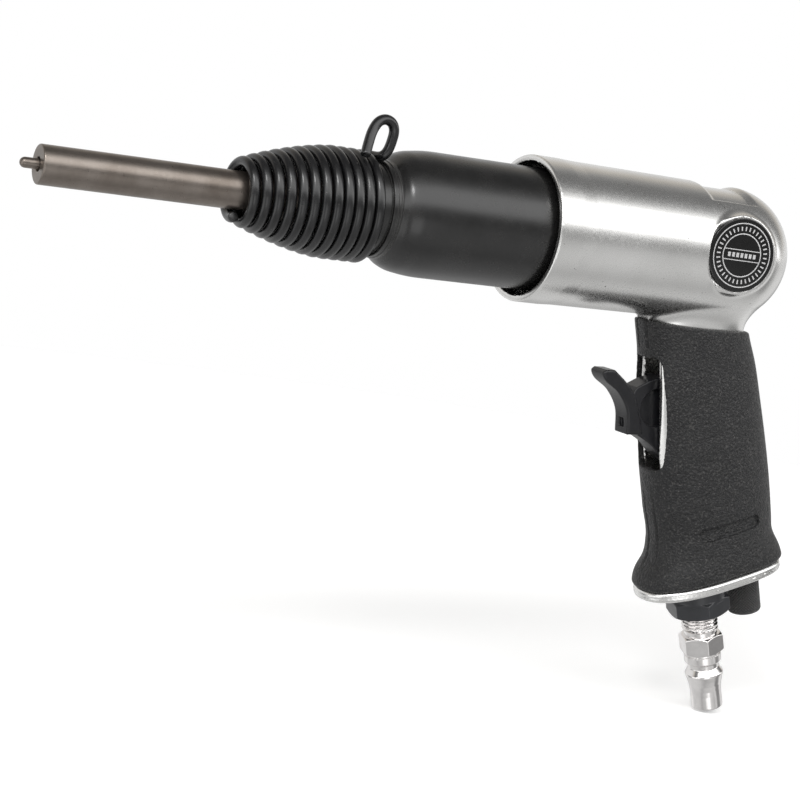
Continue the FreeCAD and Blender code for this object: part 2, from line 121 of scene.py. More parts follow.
def rounded(corners, steps=5):
    """Outline with its corners rounded; a corner is (x, r) or (x, r, rounding)."""
    out = []
    for k, corner in enumerate(corners):
        here = np.array(corner[:2], float)
        size = corner[2] if len(corner) > 2 else 0.0
        if size == 0.0 or k in (0, len(corners) - 1):
            out.append(here)
            continue
        back = np.array(corners[k - 1][:2], float) - here
        ahead = np.array(corners[k + 1][:2], float) - here
        size = min(size, 0.49 * np.linalg.norm(back), 0.49 * np.linalg.norm(ahead))
        a = here + size * back / np.linalg.norm(back)
        b = here + size * ahead / np.linalg.norm(ahead)
        for t in np.linspace(0, 1, steps + 1):
            out.append((1 - t) ** 2 * a + 2 * t * (1 - t) * here + t * t * b)
    return out


def lathe(outline, segments=160, closed=False):
    """Points and faces of an (x, r) outline turned about the x axis."""
    points, rings = [], []
    for x, r in outline:
        start = len(points)
        if r < 1e-6:
            points.append((x, 0, 0))
            rings.append([start] * segments)
            continue
        for k in range(segments):
            angle = 2 * math.pi * k / segments
            points.append((x, -r * math.sin(angle), r * math.cos(angle)))
        rings.append(list(range(start, start + segments)))
    faces = []
    pairs = list(zip(rings, rings[1:]))
    if closed:
        pairs.append((rings[-1], rings[0]))
    for near, far in pairs:
        for k in range(segments):
            n = (k + 1) % segments
            loop = [near[k], near[n], far[n], far[k]]
            face = list(dict.fromkeys(loop))
            if len(face) > 2:
                faces.append(face)
    return points, faces


def on_handle(points):
    """Points given as (s, y, u) moved to the raked handle."""
    p = np.asarray(points, float)
    down, rear = np.array(DOWN), np.array(REAR)
    base = np.array((GRIP_X, 0, 0))
    return base + p[:, :1] * down + p[:, 1:2] * np.array((0, 1, 0)) + p[:, 2:] * rear


def tube(path, radius, sides=20):
    """Round wire along a path, with rounded ends; the frame is carried along the path."""
    path = np.asarray(path, float)
    tangents = np.gradient(path, axis=0)
    tangents /= np.linalg.norm(tangents, axis=1)[:, None]
    normal = np.cross(tangents[0], (0.3, 0.2, 0.9))
    normal /= np.linalg.norm(normal)
    rings, points, faces = [], [], []
    stations = [(path[0] - tangents[0] * radius * c, radius * s, 0) for c, s in cap_steps()]
    stations += [(p, radius, k) for k, p in enumerate(path)]
    last = len(path) - 1
    stations += [
        (path[-1] + tangents[-1] * radius * c, radius * s, last) for c, s in cap_steps()[::-1]
    ]
    for centre, r, k in stations:
        normal = normal - tangents[k] * np.dot(normal, tangents[k])
        normal /= np.linalg.norm(normal)
        side = np.cross(tangents[k], normal)
        start = len(points)
        for j in range(sides):
            angle = 2 * math.pi * j / sides
            points.append(centre + r * (math.cos(angle) * normal + math.sin(angle) * side))
        rings.append(range(start, start + sides))
    for near, far in zip(rings, rings[1:]):
        for j in range(sides):
            n = (j + 1) % sides
            faces.append((near[j], near[n], far[n], far[j]))
    faces.append(tuple(reversed(rings[0])))
    faces.append(tuple(rings[-1]))
    return points, faces


def cap_steps():
    """Steps of a nearly flat cut end with a small round, as (along, across) shares."""
    return [(0.30, 0.72), (0.27, 0.86), (0.16, 0.96)]


# ---- shapes from distance fields ----
def union_round(a, b, r):
    inner = np.maximum(r, np.minimum(a, b))
    return inner - np.hypot(np.maximum(r - a, 0), np.maximum(r - b, 0))


def meet_round(a, b, r):
    inner = np.minimum(-r, np.maximum(a, b))
    return inner + np.hypot(np.maximum(r + a, 0), np.maximum(r + b, 0))


def cut_round(a, b, r):
    return meet_round(a, -b, r)


def smooth_step(low, high, value):
    t = np.clip((value - low) / (high - low), 0, 1)
    return t * t * (3 - 2 * t)


def sample_field(field, low, counts, cell, block=16):
    """Field values on a grid; blocks far from the surface only get their sign."""
    values = np.empty(counts, np.float32)
    for i in range(0, counts[0], block):
        for j in range(0, counts[1], block):
            for k in range(0, counts[2], block):
                ends = np.minimum((i + block, j + block, k + block), counts)
                centre = low + cell * (np.array((i, j, k)) + ends - 1) / 2
                middle = field(centre[None, :])[0]
                where = (slice(i, ends[0]), slice(j, ends[1]), slice(k, ends[2]))
                if abs(middle) > cell * block * 1.1:
                    values[where] = middle
                    continue
                axes = [
                    low[d] + cell * np.arange((i, j, k)[d], ends[d]) for d in range(3)
                ]
                grid = np.stack(np.meshgrid(*axes, indexing="ij"), axis=-1)
                values[where] = field(grid.reshape(-1, 3)).reshape(grid.shape[:3])
    return values


def net(values, low, cell):
    """Surface net: one point in each cell that the surface crosses, joined by quads."""
    inside = values < 0
    count = np.zeros([n - 1 for n in values.shape], np.int8)
    corners = [(a, b, c) for a in (0, 1) for b in (0, 1) for c in (0, 1)]
    for a, b, c in corners:
        count += inside[
            a:a + count.shape[0], b:b + count.shape[1], c:c + count.shape[2]
        ]
    cells = np.argwhere((count > 0) & (count < 8))
    index = np.full(count.shape, -1, np.int64)
    index[tuple(cells.T)] = np.arange(len(cells))
    total = np.zeros((len(cells), 3))
    hits = np.zeros(len(cells))
    for corner in corners:
        for d in range(3):
            if corner[d]:
                continue
            step = np.eye(3, dtype=int)[d]
            one = values[tuple((cells + corner).T)]
            two = values[tuple((cells + corner + step).T)]
            crossed = (one < 0) != (two < 0)
            share = one[crossed] / (one[crossed] - two[crossed])
            total[crossed] += cells[crossed] + np.array(corner) + share[:, None] * step
            hits[crossed] += 1
    points = low + cell * total / hits[:, None]
    faces = []
    for d in range(3):
        e, f = (d + 1) % 3, (d + 2) % 3
        step, se, sf = np.eye(3, dtype=int)[[d, e, f]]
        here = [slice(1, n - 1) for n in values.shape]
        here[d] = slice(0, values.shape[d] - 1)
        ahead = list(here)
        ahead[d] = slice(1, values.shape[d])
        first = inside[tuple(here)]
        change = np.argwhere(first != inside[tuple(ahead)])
        offset = np.array([s.start for s in here])
        at = change + offset
        out = first[tuple(change.T)]
        quad = np.stack([
            index[tuple((at - se - sf).T)], index[tuple((at - sf).T)],
            index[tuple(at.T)], index[tuple((at - se).T)],
        ], axis=1)
        quad[~out] = quad[~out][:, ::-1]
        faces.append(quad)
    return points, np.concatenate(faces)


def field_mesh(field, low, high, cell, steps=3):
    """Quad mesh of a field's zero surface, with its points pulled on to the surface."""
    low = np.asarray(low, float) - 2 * cell
    counts = tuple(int(n) for n in np.ceil((np.asarray(high) - low) / cell) + 3)
    points, faces = net(sample_field(field, low, counts, cell), low, cell)
    tiny = cell * 0.05
    for _ in range(steps):
        value = field(points)
        slope = np.stack([
            (field(points + tiny * axis) - field(points - tiny * axis)) / (2 * tiny)
            for axis in np.eye(3)
        ], axis=1)
        size = np.maximum((slope ** 2).sum(axis=1), 0.25)
        move = -value[:, None] * slope / size[:, None]
        reach = np.linalg.norm(move, axis=1, keepdims=True)
        move *= np.minimum(1, 0.35 * cell / np.maximum(reach, 1e-9))
        points = points + move
    return points, faces.tolist()


# ---- the handle's shape, shared by the casting and the sleeve ----
STATIONS = np.array([
    # s, centre u, half depth, half width, rubber thickness
    (12.0, 8.0, 20.4, 12.7, 1.0),
    (24.0, 7.9, 20.6, 12.8, 1.2),
    (36.0, 7.8, 20.8, 13.0, 1.8),
    (46.0, 7.6, 22.5, 13.5, 2.0),
    (60.0, 7.5, 23.5, 14.0, 2.0),
    (74.0, 7.6, 24.1, 14.3, 2.0),
    (90.0, 7.7, 24.3, 14.5, 2.0),
    (103.0, 7.5, 24.1, 14.6, 2.0),
    (109.0, 6.3, 24.9, 15.1, 2.0),
    (113.5, 4.6, 27.2, 15.6, 2.5),
    (117.9, 4.0, 28.1, 15.9, 3.0),
    (119.5, 4.0, 28.2, 15.9, 3.0),
])
GRIP_POWER = 2.4
# base flange: s of its faces, centre u, half depth and width, superellipse powers front and rear
FLANGE = dict(top=118.4, end=122.3, centre=3.8, depth=27.5, width=15.9, front=2.3, rear=3.5)
# opening in the sleeve for the trigger; its sides bow out by WINDOW_BOW in the middle
WINDOW_MID, WINDOW_REACH, WINDOW_HALF, WINDOW_BOW = 55.6, 19.7, 6.9, 1.9
SLOT_TOP, SLOT_END = 36.0, 79.5   # slot in the casting for the trigger's web
SLOT_HALF, SLOT_BACK_U = 4.5, 2.0
PIVOT_S, PIVOT_U = 73.0, -5.0
THROTTLE_S = 54.0
REGULATOR_U = 19.8


def dense_stations(step=0.25):
    """The stations joined by smooth curves and sampled closely."""
    s = STATIONS[:, 0]
    slope = np.gradient(STATIONS, s, axis=0)
    fine = np.arange(s[0], s[-1] + step, step)
    k = np.clip(np.searchsorted(s, fine) - 1, 0, len(s) - 2)
    width = (s[k + 1] - s[k])[:, None]
    t = ((fine - s[k]) / (s[k + 1] - s[k]))[:, None]
    a, b = STATIONS[k], STATIONS[k + 1]
    ma, mb = slope[k] * width, slope[k + 1] * width
    t2, t3 = t * t, t * t * t
    return (2 * t3 - 3 * t2 + 1) * a + (t3 - 2 * t2 + t) * ma + (3 * t2 - 2 * t3) * b + (t3 - t2) * mb


FINE = dense_stations()


def handle_place(p):
    """Row-frame points as handle coordinates s, u, y."""
    dx, z = p[:, 0] - GRIP_X, p[:, 2]
    return dx * DOWN.x + z * DOWN.z, dx * REAR.x + z * REAR.z, p[:, 1]


def oval(u, y, centre, depth, width, power):
    """Distance to a superellipse, good near its edge."""
    a, b = np.abs(u - centre) / depth, np.abs(y) / width
    g = np.maximum((a ** power + b ** power) ** (1 / power), 1e-3)
    slope = np.hypot((a / g) ** (power - 1) / depth, (b / g) ** (power - 1) / width)
    return (g - 1) / np.maximum(slope, 1e-4)


def grip_oval(s, u, y, inset):
    """Distance to the grip's outline, moved in by a share of the rubber and a gap."""
    row = [np.interp(s, FINE[:, 0], FINE[:, k]) for k in (1, 2, 3, 4)]
    shrink = row[3] * inset[0] - inset[1]
    blunter = np.where(u > row[0], 1.5, 0.0)
    power = GRIP_POWER + blunter * smooth_step(106, 118, s)
    return oval(u, y, row[0], row[1] - shrink, row[2] - shrink, power)


def down_rod(s, u, y, radius, s0, s1, at_u=0.0):
    return np.maximum(np.hypot(u - at_u, y) - radius, np.abs(s - (s0 + s1) / 2) - (s1 - s0) / 2)


def back_rod(s, u, y, radius, u0, u1):
    return np.maximum(
        np.hypot(s - THROTTLE_S, y) - radius, np.abs(u - (u0 + u1) / 2) - (u1 - u0) / 2
    )


# ---- housing ----
DOME_X = 243.5
HEAD_R = 23.3
BADGE_LOW, BADGE_HIGH = span("badge")
BADGE_TURN = math.radians(-6.8)
BADGE_AXIS = Vector((math.sin(BADGE_TURN), -math.cos(BADGE_TURN), 0))
BADGE_R = (BADGE_HIGH.z - BADGE_LOW.z) / 2
BADGE_MID = Vector((
    (BADGE_LOW.x + BADGE_HIGH.x) / 2, (BADGE_LOW.y + BADGE_HIGH.y) / 2,
    (BADGE_LOW.z + BADGE_HIGH.z) / 2,
))
BADGE_FACE_OUT = 0.5   # badge's face above the middle of its thickness
BOSS_OUT = -0.1        # boss's face, from the same middle
BOSS_R = 13.2
BOSS_DEEP = 9.0        # how far the boss reaches into the head
BADGE_SUNK = 0.4       # how far the badge sits in the boss
LABEL_X = (228.3, 243.2)
LABEL_DEG = 38.0       # how far the label's pocket reaches round each side of the top
LABEL_SINK = 1.3


def head_field(p):
    x, rho = p[:, 0], np.hypot(p[:, 1], p[:, 2])
    radius = np.interp(x, (RIM_X + 9, RIM_X + 14, DOME_X), (RIM_R, RIM_R - 0.25, HEAD_R))
    dome = np.hypot(x - DOME_X, rho) - HEAD_R
    head = np.where(x > DOME_X, dome, rho - radius)
    return meet_round(head, RIM_X - x, 0.45)


def core_field(s, u, y):
    """Handle's core, with a flat behind the trigger that slopes forward down the handle."""
    top, end = 10.0, 119.0
    core = np.maximum(grip_oval(s, u, y, (1, 0)), np.abs(s - (top + end) / 2) - (end - top) / 2)
    flat_u = -9.3 - (s - 34) * 4.6 / 39
    front = np.maximum(np.maximum(np.abs(s - WINDOW_MID) - 20, u - flat_u), np.abs(y) - 9)
    return cut_round(core, front, 0.3)


def flange_field(s, u, y):
    """Base flange with a rounded edge and a fine seam line round it."""
    f = FLANGE
    power = np.where(u > f["centre"], f["rear"], f["front"])
    edge = oval(u, y, f["centre"], f["depth"], f["width"], power)
    slab = np.abs(s - (f["top"] + f["end"]) / 2) - (f["end"] - f["top"]) / 2
    bead = meet_round(edge, slab, 1.4)
    seam = np.maximum(np.abs(s - f["top"] - 1.9) - 0.18, -0.16 - edge)
    return cut_round(bead, seam, 0.15)


def badge_place(p):
    """Distance out along the badge's axis, and from that axis."""
    d = p - np.array(BADGE_MID)
    out = d @ np.array(BADGE_AXIS)
    return out, np.linalg.norm(d - out[:, None] * np.array(BADGE_AXIS), axis=1)


def label_field(p):
    """Empty pocket round the top of the head."""
    x, rho = p[:, 0], np.hypot(p[:, 1], p[:, 2])
    floor = HEAD_R - LABEL_SINK
    lean = 1.4
    rise = (rho - floor) * lean
    ends = np.maximum(LABEL_X[0] - rise - x, x - LABEL_X[1] - rise) / math.hypot(1, lean)
    around = np.abs(np.arctan2(p[:, 1], p[:, 2])) - math.radians(LABEL_DEG)
    return np.maximum(np.maximum(ends, around * rho), floor - rho)


def hollow_field(p, s, u, y):
    """Bores of the head and the handle."""
    x, rho = p[:, 0], np.hypot(p[:, 1], p[:, 2])
    out = np.full(len(p), 1e3)
    skirt, thread, valve, rear = (RIM_R - 2, SKIRT_END), (19.05, 206), (17.15, 236), (13.0, 250)
    for radius, end in (skirt, thread, valve, rear):
        out = np.minimum(out, np.maximum(rho - radius, x - end))
    inlet = down_rod(s, u, y, 8.6, 105.5, 125)
    regulator = down_rod(s, u, y, 4.1, 92, 125, REGULATOR_U)
    throttle_front = back_rod(s, u, y, 4.1, 0, 12.5)
    throttle_rear = back_rod(s, u, y, 6.6, 12, 24.5)
    for bore in (inlet, regulator, throttle_front, throttle_rear):
        out = np.minimum(out, bore)
    return out


def housing_field(p):
    s, u, y = handle_place(p)
    neck = 3.0 + 3.0 * smooth_step(218, 256, p[:, 0])
    body = union_round(head_field(p), core_field(s, u, y), neck)
    body = union_round(body, flange_field(s, u, y), 0.5)
    out, off = badge_place(p)
    boss = np.maximum(np.maximum(off - BOSS_R, out - BOSS_OUT), -out - BOSS_DEEP)
    body = union_round(body, boss, 2.0)
    body = cut_round(body, np.maximum(off - BOSS_R - 0.2, BOSS_OUT - out), 0.7)
    seat = np.maximum(off - BADGE_R - 0.05, BOSS_OUT - BADGE_SUNK - out)
    body = cut_round(body, seat, 0.15)
    body = cut_round(body, label_field(p), 0.5)
    slot_length = np.abs(s - (SLOT_TOP + SLOT_END) / 2) - (SLOT_END - SLOT_TOP) / 2
    slot = np.maximum(np.abs(y) - SLOT_HALF, np.maximum(slot_length, u - SLOT_BACK_U))
    body = cut_round(body, slot, 0.3)
    return cut_round(body, hollow_field(p, s, u, y), 0.3)


# ---- grip sleeve ----
RECESS_S, RECESS_U, RECESS_R, RECESS_DEPTH = 100.7, (-3.3, 17.8), 2.2, 0.95


def sleeve_field(p):
    """Rubber sleeve with two moulded lines down its front and a slot-shaped recess in one side."""
    s, u, y = handle_place(p)
    outer = grip_oval(s, u, y, (0, 0))
    strip = np.exp(-((np.abs(y) - 2.6) / 0.4) ** 2) * (u < 4)
    above = smooth_step(34, 31, s)
    below = smooth_step(76, 99, s) * smooth_step(113, 107, s)
    outer = outer + strip * (0.55 * above + 0.75 * below)
    outer = meet_round(outer, p[:, 2] - SLEEVE_TOP, 0.7)
    outer = meet_round(outer, s - FLANGE["top"] - 0.2, 2.2)
    inner = grip_oval(s, u, y, (1, 0.08))
    body = cut_round(outer, inner, 0.2)
    bow = WINDOW_HALF + WINDOW_BOW * (1 - ((s - WINDOW_MID) / WINDOW_REACH) ** 2)
    window = meet_round(np.abs(y) - bow, np.abs(s - WINDOW_MID) - WINDOW_REACH, 2.6)
    body = cut_round(body, np.maximum(window, u + 2), 0.5)
    along = np.clip(u, *RECESS_U)
    recess = np.hypot(s - RECESS_S, u - along) - RECESS_R
    recess = np.maximum(np.maximum(recess, y), -RECESS_DEPTH - outer)
    return cut_round(body, recess, 0.25)


# ---- trigger ----
PIVOT_BORE_R = 1.55
CUP_S, CUP_U, CUP_R, CUP_WEB = 53.7, -11.9, 6.6, 2.6   # round hollow in each side of the web
DENT_S, DENT_U = 56.3, -23.4                           # small dent in the blade's face


def through(points, steps=8):
    """Smooth curve through a few points."""
    p = np.asarray(points, float)
    p = np.vstack([2 * p[0] - p[1], p, 2 * p[-1] - p[-2]])
    out = []
    for k in range(1, len(p) - 2):
        for t in np.arange(steps) / steps:
            a, b, c, d = p[k - 1:k + 3]
            out.append(
                0.5 * (2 * b + (c - a) * t + (2 * a - 5 * b + 4 * c - d) * t ** 2
                       + (3 * b - a - 3 * c + d) * t ** 3)
            )
    out.append(p[-2])
    return out


def arc(centre, radius, start_deg, end_deg, steps=10):
    angles = np.radians(np.linspace(start_deg, end_deg, steps + 1))
    return [(centre[0] + radius * math.cos(a), centre[1] + radius * math.sin(a)) for a in angles]


BLADE = np.array(
    through([
        (35.6, -30.6), (36.6, -32.0), (39.7, -31.0), (44.9, -26.6), (52.0, -24.1), (60.0, -25.0),
    ])
    + through([
        (61.4, -19.4), (56.2, -19.2), (51.6, -19.8), (45.6, -21.0), (41.6, -23.2), (36.6, -27.0),
    ])
)
WEB = np.array(
    through([(61.6, -20.5), (66.0, -15.9), (70.6, -13.0), (75.6, -8.2)])
    + arc((PIVOT_S, PIVOT_U), 4.1, -50, 90)
    + [
        (58.0, -4.2), (50.0, -4.2), (43.3, -8.0), (43.6, -14.0), (44.6, -19.0), (46.5, -21.0),
        (56.0, -20.5),
    ]
)


def polygon(q, corners):
    """Signed distance of points to a closed outline."""
    best = np.full(len(q), 1e9)
    inside = np.zeros(len(q), bool)
    for a, b in zip(corners, np.roll(corners, -1, axis=0)):
        edge = b - a
        t = np.clip(((q - a) @ edge) / max(edge @ edge, 1e-12), 0, 1)
        best = np.minimum(best, ((q - a - t[:, None] * edge) ** 2).sum(axis=1))
        if a[1] != b[1]:
            crosses = (a[1] > q[:, 1]) != (b[1] > q[:, 1])
            where = (b[0] - a[0]) * (q[:, 1] - a[1]) / (b[1] - a[1]) + a[0]
            inside ^= crosses & (q[:, 0] < where)
    return np.where(inside, -1, 1) * np.sqrt(best)


def outline_field(corners, step=0.1, margin=6.0):
    """Function of (s, u) that reads the distance to an outline from a fine grid."""
    low = corners.min(axis=0) - margin
    counts = np.ceil((corners.max(axis=0) + margin - low) / step).astype(int)
    grid = np.stack(np.meshgrid(*[np.arange(n) for n in counts], indexing="ij"), axis=-1)
    table = polygon(low + step * grid.reshape(-1, 2), corners).reshape(counts)

    def field(s, u):
        place = np.clip((np.stack([s, u], axis=1) - low) / step, 0, counts - 1.001)
        i, j = place.astype(int).T
        a, b = (place % 1).T
        near = table[i, j] * (1 - b) + table[i, j + 1] * b
        far = table[i + 1, j] * (1 - b) + table[i + 1, j + 1] * b
        return near * (1 - a) + far * a

    return field


blade_outline = outline_field(BLADE)
web_outline = outline_field(WEB)


def trigger_field(p):
    """Curved finger blade on a web that runs back to the pivot."""
    s, u, y = handle_place(p)
    wide = np.abs(y)
    blade = meet_round(blade_outline(s, u), wide - 4.25, 0.8)
    web = meet_round(web_outline(s, u), wide - 3.85, 0.35)
    cup = np.maximum(np.hypot(s - CUP_S, u - CUP_U) - CUP_R, CUP_WEB - wide)
    web = cut_round(web, cup, 0.25)
    body = union_round(blade, web, 0.4)
    dent = np.maximum(np.maximum(np.abs(s - DENT_S) - 1.5, wide - 1.4), u - DENT_U)
    body = cut_round(body, dent, 0.3)
    return cut_round(body, np.hypot(s - PIVOT_S, u - PIVOT_U) - PIVOT_BORE_R, 0.1)


# ---- inlet bushing, air plug and knob ----
def hexagon(u, y, across, turn_deg):
    out = np.full(len(u), -1e3)
    for k in range(3):
        angle = math.radians(turn_deg + 30 + 60 * k)
        out = np.maximum(out, np.abs(u * math.cos(angle) + y * math.sin(angle)) - across / 2)
    return out


def nut_field(s, u, y, across, s0, s1, turn_deg, edge=0.15):
    """Hexagon with both ends turned off to a 30 degree cone."""
    rho = np.hypot(u, y)
    length = np.abs(s - (s0 + s1) / 2) - (s1 - s0) / 2
    nut = meet_round(hexagon(u, y, across, turn_deg), length, edge)
    reach = across / 2 - 0.1
    lean = math.radians(30)
    for depth in (s - s0, s1 - s):
        cone = (rho - reach) * math.sin(lean) - depth * math.cos(lean)
        nut = meet_round(nut, cone, edge)
    return nut


# across flats, s of its first and last face, turn in degrees
BUSHING_NUT = (20.0, 127.0, 133.3, 15)
PLUG_NUT = (14.0, 141.7, 148.5, 13)


def bushing_field(p):
    s, u, y = handle_place(p)
    nut = nut_field(s, u, y, *BUSHING_NUT)
    body = union_round(nut, down_rod(s, u, y, 10.2, 123.0, 128.0), 0.3)
    body = union_round(body, down_rod(s, u, y, 8.5, 107, 124), 0.2)
    bore = np.minimum(down_rod(s, u, y, 6.62, 109.5, 140), down_rod(s, u, y, 5.0, 100, 140))
    return cut_round(body, bore, 0.2)


THREAD_PITCH = 1.337
THREAD_DEPTH = 0.75
PLUG_END = 170.2
PLUG_BORE_R = 3.4
PLUG_SHAPE = np.array([
    # s, radius down the plug below its thread
    (139.4, 6.1), (140.0, 5.9), (148.4, 5.9), (148.5, 6.25), (149.3, 6.25), (149.4, 6.6),
    (152.1, 6.6), (152.8, 5.6), (154.5, 5.5), (154.9, 5.8), (156.5, 6.85), (157.1, 6.9),
    (159.0, 6.35), (161.0, 5.85), (163.0, 5.62), (165.0, 5.56), (168.0, 5.6), (175.0, 5.65),
])


def plug_field(p):
    """Quick-connect plug: a rolled thread, a hexagon, a ball groove and a nose."""
    s, u, y = handle_place(p)
    rho = np.hypot(u, y)
    turn = np.arctan2(y, u) / (2 * math.pi)
    wave = np.abs((s / THREAD_PITCH - turn) % 1 - 0.5) * 2
    painted_glints = 6.75 - 0.25 * smooth_step(132, 138.5, s)
    thread = rho - (painted_glints - THREAD_DEPTH * np.clip(1.25 * wave - 0.12, 0, 1))
    body = np.maximum(thread * 0.75, np.abs(s - 125.6) - 14.1)
    below = np.maximum((rho - np.interp(s, *PLUG_SHAPE.T)) * 0.8, 138.5 - s)
    body = union_round(body, below, 0.15)
    body = union_round(body, nut_field(s, u, y, *PLUG_NUT), 0.1)
    body = meet_round(body, s - PLUG_END, 0.6)
    return cut_round(body, rho - PLUG_BORE_R, 0.3)


# ---- materials ----
class Nodes:
    """A node tree of a material or the world, with short calls to add and join nodes."""

    def __init__(self, owner, coordinates="Object"):
        owner.use_nodes = True
        self.material = owner
        self.tree = owner.node_tree
        kinds = ("BSDF_PRINCIPLED", "BACKGROUND")
        self.shader = next(n for n in self.tree.nodes if n.type in kinds)
        self.place = self.add("ShaderNodeTexCoord").outputs[coordinates]

    def add(self, kind, **settings):
        node = self.tree.nodes.new(kind)
        for key, value in settings.items():
            setattr(node, key, value)
        return node

    def join(self, source, target):
        self.tree.links.new(source, target)

    def set(self, **inputs):
        for key, value in inputs.items():
            target = self.shader.inputs[key.replace("_", " ")]
            if hasattr(value, "is_linked"):
                self.join(value, target)
            else:
                target.default_value = value

    def scaled(self, x, y, z):
        """The place stretched along each axis, such as for brush marks."""
        mapping = self.add("ShaderNodeMapping")
        mapping.inputs["Scale"].default_value = (x, y, z)
        self.join(self.place, mapping.inputs["Vector"])
        return mapping.outputs["Vector"]

    def noise(self, scale, detail=3.0, rough=0.5, place=None):
        node = self.add("ShaderNodeTexNoise")
        node.inputs["Scale"].default_value = scale
        node.inputs["Detail"].default_value = detail
        node.inputs["Roughness"].default_value = rough
        self.join(place or self.place, node.inputs["Vector"])
        return node.outputs["Fac"]

    def pebbles(self, scale, place):
        node = self.add("ShaderNodeTexVoronoi", feature="SMOOTH_F1")
        node.inputs["Scale"].default_value = scale
        self.join(place, node.inputs["Vector"])
        return node.outputs["Distance"]

    def ramp(self, source, *stops):
        """Colour ramp through (place, colour) stops; a single number is a grey."""
        node = self.add("ShaderNodeValToRGB")
        elements = node.color_ramp.elements
        while len(elements) < len(stops):
            elements.new(0.5)
        for element, (place, colour) in zip(elements, stops):
            element.position = place
            shade = colour if isinstance(colour, tuple) else (colour,) * 3
            element.color = (*shade, 1)
        self.join(source, node.inputs["Fac"])
        return node.outputs["Color"]

    def mix(self, share, one, two):
        node = self.add("ShaderNodeMix", data_type="RGBA", blend_type="MIX")
        for socket, value in (("Factor", share), ("A", one), ("B", two)):
            target = next(
                s for s in node.inputs
                if s.name == socket and s.type == ("VALUE" if socket == "Factor" else "RGBA")
            )
            if hasattr(value, "is_linked"):
                self.join(value, target)
            else:
                target.default_value = value if socket == "Factor" else (*value, 1)
        return next(s for s in node.outputs if s.type == "RGBA")

    def math(self, operation, one, two):
        node = self.add("ShaderNodeMath", operation=operation)
        for target, value in zip(node.inputs, (one, two)):
            if hasattr(value, "is_linked"):
                self.join(value, target)
            else:
                target.default_value = value
        return node.outputs[0]

    def bump(self, *layers):
        """Bump from (height, depth in metres) layers, one over another."""
        normal = None
        for height, depth in layers:
            node = self.add("ShaderNodeBump")
            node.inputs["Strength"].default_value = 1.0
            node.inputs["Distance"].default_value = depth
            self.join(height, node.inputs["Height"])
            if normal:
                self.join(normal, node.inputs["Normal"])
            normal = node.outputs["Normal"]
        self.join(normal, self.shader.inputs["Normal"])

    def edge_wear(self, radius=0.0006):
        """1 on outside edges, 0 on flats, from the bevelled normal."""
        bevel = self.add("ShaderNodeBevel", samples=6)
        bevel.inputs["Radius"].default_value = radius
        geometry = self.add("ShaderNodeNewGeometry")
        dot = self.add("ShaderNodeVectorMath", operation="DOT_PRODUCT")
        self.join(bevel.outputs["Normal"], dot.inputs[0])
        self.join(geometry.outputs["Normal"], dot.inputs[1])
        return self.ramp(dot.outputs["Value"], (0.80, 1.0), (0.985, 0.0))


def cast_aluminium(name="cast_aluminium"):
    """Satin machined casting: a fine mottle, faint turning marks and a few pits."""
    m = Nodes(bpy.data.materials.new(name))
    mottle = m.noise(1500, 3, 0.6)
    marks = m.noise(700, 3, 0.6, m.scaled(1, 0.12, 0.12))
    cloud = m.noise(45, 4, 0.6)
    pits = m.ramp(m.noise(520, 2, 0.5), (0.235, 0.0), (0.262, 1.0))
    tone = m.ramp(cloud, (0.3, (0.73, 0.725, 0.71)), (0.7, (0.82, 0.815, 0.80)))
    tone = m.mix(pits, (0.34, 0.33, 0.32), tone)
    m.set(Base_Color=tone, Metallic=1.0, Roughness=m.ramp(mottle, (0.3, 0.21), (0.7, 0.30)))
    m.bump((mottle, 0.000010), (marks, 0.000010), (pits, 0.00003))
    return m.material


def black_oxide(name, base, rough, specks):
    """Blackened steel: a soft sheen, with a few bright rubbed specks and worn edges."""
    m = Nodes(bpy.data.materials.new(name))
    cloud = m.noise(140, 4, 0.6)
    grain = m.noise(2200, 2, 0.5)
    tone = m.ramp(cloud, (0.3, tuple(c * 0.8 for c in base)), (0.7, tuple(c * 1.25 for c in base)))
    rubbed = m.ramp(m.noise(650, 5, 0.7), (specks, 0.0), (specks + 0.03, 1.0))
    tone = m.mix(rubbed, tone, (0.15, 0.14, 0.135))
    tone = m.mix(m.math("MULTIPLY", m.edge_wear(), 0.35), tone, (0.16, 0.155, 0.15))
    m.set(Base_Color=tone, Roughness=m.ramp(cloud, (0.3, rough - 0.04), (0.7, rough + 0.05)))
    m.set(Specular_IOR_Level=0.62)
    m.bump((grain, 0.000010))
    return m.material


def tool_steel(name="tool_steel"):
    """Dull brownish steel bar with fine turning marks."""
    m = Nodes(bpy.data.materials.new(name))
    rings = m.noise(2600, 3, 0.6, m.scaled(1, 0.02, 0.02))
    grain = m.noise(1400, 3, 0.6)
    tone = m.ramp(m.noise(90, 4, 0.6), (0.3, (0.165, 0.140, 0.120)), (0.7, (0.25, 0.22, 0.195)))
    m.set(Base_Color=tone, Metallic=0.92, Roughness=m.ramp(grain, (0.3, 0.27), (0.7, 0.38)))
    m.bump((rings, 0.000010), (grain, 0.000012))
    return m.material


def ground_steel(name="ground_steel"):
    m = Nodes(bpy.data.materials.new(name))
    rings = m.noise(1800, 3, 0.6, m.scaled(1, 0.05, 0.05))
    m.set(Base_Color=m.ramp(rings, (0.3, 0.42), (0.7, 0.56)), Metallic=1.0, Roughness=0.3)
    m.bump((rings, 0.000006))
    return m.material


